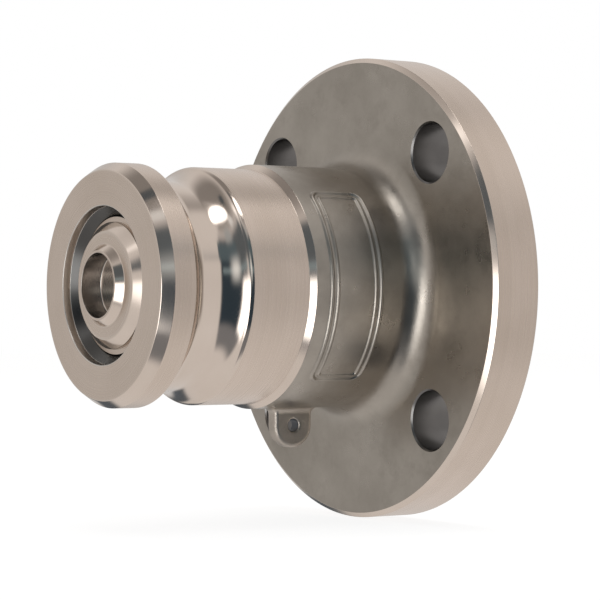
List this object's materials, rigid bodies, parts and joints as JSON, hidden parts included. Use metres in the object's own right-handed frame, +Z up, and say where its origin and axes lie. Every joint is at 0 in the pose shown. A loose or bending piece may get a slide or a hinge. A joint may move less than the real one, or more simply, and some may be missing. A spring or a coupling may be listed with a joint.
{
  "type": "flanged dry-disconnect pipe adapter",
  "caption": "Flanged stainless pipe adapter with a cam-groove nose and a spring-closed poppet valve that opens when a coupler pushes it in.",
  "frame": {"origin": "centre of the bolt circle, on the pipe axis, in the flange's back plane where the bolt holes end; the raised mating face stands 1.6 mm above it", "axes": "+Y along the pipe axis out of the flange's mating face, so the nose points to -Y; +Z up, with the chain lug below"},
  "size_m": [0.1524, 0.116, 0.1524],
  "materials": {
    "cast_stainless": "cast and blasted neck and flange, machined nose and shoulder",
    "turned_stainless": "fine turned",
    "seal_rubber": "moulded, satin",
    "retainer_steel": "turned",
    "spring_steel": "drawn stainless wire",
    "nut_steel": "turned",
    "stem_steel": "ground",
    "seat_steel": "stamped",
    "spider_cast_steel": "investment cast",
    "bushing_plastic": "machined PTFE",
    "ring_spring_steel": "stamped spring steel"
  },
  "bodies": {
    "housing": {"adapter_body": "cast_stainless", "guide_spider": "spider_cast_steel", "stem_bushing": "bushing_plastic", "spring_seat": "seat_steel", "retaining_ring": "ring_spring_steel", "return_spring": "spring_steel"},
    "poppet": {"poppet_head": "turned_stainless", "poppet_seal": "seal_rubber", "seal_retainer": "retainer_steel", "lock_washer": "spring_steel", "retainer_nut": "nut_steel", "poppet_stem": "stem_steel"}
  },
  "joints": [
    {"name": "poppet_slide", "type": "slide", "parent": "housing", "child": "poppet", "axis": [0, 1, 0], "range_m": [0, 0.015], "stiffness_N_per_m": 3600, "springref_m": -0.012, "deforming": ["return_spring"]}
  ]
}
